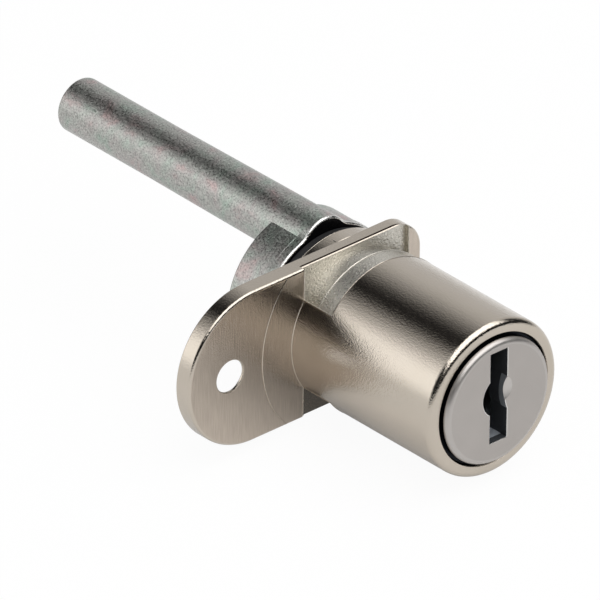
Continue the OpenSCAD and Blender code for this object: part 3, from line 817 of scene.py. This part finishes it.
# floor, light and camera
studio = {
    "floorZ": -10.2,                                   # mm
    "floorSize": 6.0, "floorColour": "#f4f4f4",        # metres
    "cameraWhite": 0.95, "glossyWhite": 0.2,           # how white the floor is to the camera and in reflections
    "topBox": {"place": (0.1, -0.42, 1.0), "width": 1.9, "depth": 1.3, "level": 2.4},    # metres
    "roomLevel": 0.74, "frontLevel": 0.012,            # brightness behind the lock and round the camera
    "frontEdge": (-0.1, 0.3),                          # Y of the direction, where one turns into the other
    # X of the direction: the dark gap overhead fades out from gapInner to gapLeft or gapRight
    "gapCentre": -0.09, "gapInner": 0.08, "gapLeft": 0.45, "gapRight": 0.78,
    "glowWay": (-0.745, 0.64, 0.15), "glowCosine": (0.86, 0.97), "glowLevel": 0.86,
}


def makeFloor(s):
    bm = bmesh.new()
    half = s["floorSize"] / 2
    bmesh.ops.create_grid(bm, x_segments=4, y_segments=4, size=half)
    floor = meshObject("studioFloor", bm)
    floor.location.z = s["floorZ"] * mm
    material, tree, output = newMaterial("paleFloor")
    diffuse = addNode(tree, "ShaderNodeBsdfDiffuse", inputs={"Color": toLinear(s["floorColour"])})
    white = addNode(tree, "ShaderNodeEmission", inputs={"Color": (1, 1, 1, 1), "Strength": 1.0})
    path = addNode(tree, "ShaderNodeLightPath")
    seen = maths(tree, "MULTIPLY", path.outputs["Is Camera Ray"], s["cameraWhite"])
    mirrored = maths(tree, "MAXIMUM", path.outputs["Is Glossy Ray"], path.outputs["Is Transmission Ray"])
    both = maths(tree, "MULTIPLY_ADD", mirrored, s["glossyWhite"], seen)
    lit = addNode(tree, "ShaderNodeMixShader",
                  inputs={0: both, 1: diffuse.outputs[0], 2: white.outputs[0]})
    # from below the floor lets the view through
    clear = addNode(tree, "ShaderNodeBsdfTransparent")
    under = addNode(tree, "ShaderNodeNewGeometry").outputs["Backfacing"]
    mixed = addNode(tree, "ShaderNodeMixShader", inputs={0: under, 1: lit.outputs[0], 2: clear.outputs[0]})
    tree.links.new(mixed.outputs[0], output.inputs["Surface"])
    floor.data.materials.append(material)


def makeSoftbox(name, box):
    lamp = bpy.data.lights.new(name, "AREA")
    lamp.shape = "RECTANGLE"
    lamp.size, lamp.size_y = box["width"], box["depth"]
    lamp.energy = box["level"] * math.pi * box["width"] * box["depth"]   # so that a mirror shows it at level
    thing = bpy.data.objects.new(name, lamp)
    thing.location = box["place"]
    thing.rotation_euler = Vector(box["place"]).to_track_quat("Z", "Y").to_euler()
    thing.visible_camera = False
    bpy.context.scene.collection.objects.link(thing)


def makeWorld(s):
    # a pale room behind the lock that glows to the left and is dark round the camera, with a dark gap overhead
    world = bpy.data.worlds.new("studioRoom")
    bpy.context.scene.world = world
    world.use_nodes = True
    tree = world.node_tree
    tree.nodes.clear()
    output = addNode(tree, "ShaderNodeOutputWorld")
    toward = addNode(tree, "ShaderNodeTexCoord").outputs["Generated"]
    way = addNode(tree, "ShaderNodeSeparateXYZ", inputs={"Vector": toward})
    offset = maths(tree, "SUBTRACT", way.outputs["X"], s["gapCentre"])
    toRight = remap(tree, offset, 0.0, 1.0, s["gapInner"], s["gapRight"], "SMOOTHSTEP")
    toLeft = remap(tree, offset, 0.0, 1.0, -s["gapInner"], -s["gapLeft"], "SMOOTHSTEP")
    gap = maths(tree, "ADD", toRight, toLeft)
    behind = remap(tree, way.outputs["Y"], 0.0, 1.0, *s["frontEdge"], "SMOOTHSTEP")
    both = maths(tree, "MULTIPLY", gap, behind)
    level = remap(tree, both, s["frontLevel"], s["roomLevel"])
    toGlow = addNode(tree, "ShaderNodeVectorMath", {"operation": "DOT_PRODUCT"},
                     {0: toward, 1: Vector(s["glowWay"]).normalized()})
    glow = remap(tree, toGlow.outputs["Value"], 0.0, s["glowLevel"], *s["glowCosine"], "SMOOTHSTEP")
    total = maths(tree, "ADD", level, glow)
    room = addNode(tree, "ShaderNodeBackground", inputs={"Color": (1, 1, 1, 1), "Strength": total})
    white = addNode(tree, "ShaderNodeBackground", inputs={"Color": (1, 1, 1, 1), "Strength": 1.0})
    seen = addNode(tree, "ShaderNodeLightPath").outputs["Is Camera Ray"]
    mixed = addNode(tree, "ShaderNodeMixShader", inputs={0: seen, 1: room.outputs[0], 2: white.outputs[0]})
    tree.links.new(mixed.outputs[0], output.inputs["Surface"])


# almost without perspective, 42 degrees to the left of the key side and 30 above
photoView = {
    "side": 42.205, "tilt": 30.479, "roll": 0.634,     # degrees
    "aimRight": -5.793, "aimUp": 2.109,                # mm from the lock's origin to the middle of the picture
    "pictureWidth": 600, "dotsPerMm": 9.652,
    "distance": 2.85,                                  # metres, no further than the other views' clipping allows
    "sensor": 36, "clip": (0.1, 12),
}


def makeCamera(c):
    side, tilt, roll = math.radians(c["side"]), math.radians(c["tilt"]), math.radians(c["roll"])
    ahead = Vector((math.sin(side) * math.cos(tilt), math.cos(side) * math.cos(tilt), -math.sin(tilt)))
    right = Vector((math.cos(side), -math.sin(side), 0))
    up = right.cross(ahead)
    rolledRight = right * math.cos(roll) + up * math.sin(roll)
    rolledUp = up * math.cos(roll) - right * math.sin(roll)
    aim = rolledRight * (c["aimRight"] * mm) + rolledUp * (c["aimUp"] * mm)
    lens = bpy.data.cameras.new("photoCamera")
    lens.sensor_width = c["sensor"]
    lens.lens = lens.sensor_width * c["distance"] / (c["pictureWidth"] / c["dotsPerMm"] * mm)
    lens.clip_start, lens.clip_end = c["clip"]
    eye = bpy.data.objects.new("photoCamera", lens)
    facing = Matrix((rolledRight, rolledUp, -ahead)).transposed().to_4x4()
    eye.matrix_world = Matrix.Translation(aim - ahead * c["distance"]) @ facing
    bpy.context.scene.collection.objects.link(eye)
    bpy.context.scene.camera = eye


makeFloor(studio)
makeSoftbox("topSoftbox", studio["topBox"])
makeWorld(studio)
makeCamera(photoView)
bpy.context.scene.view_settings.view_transform = "Standard"
print("stage: studio made")
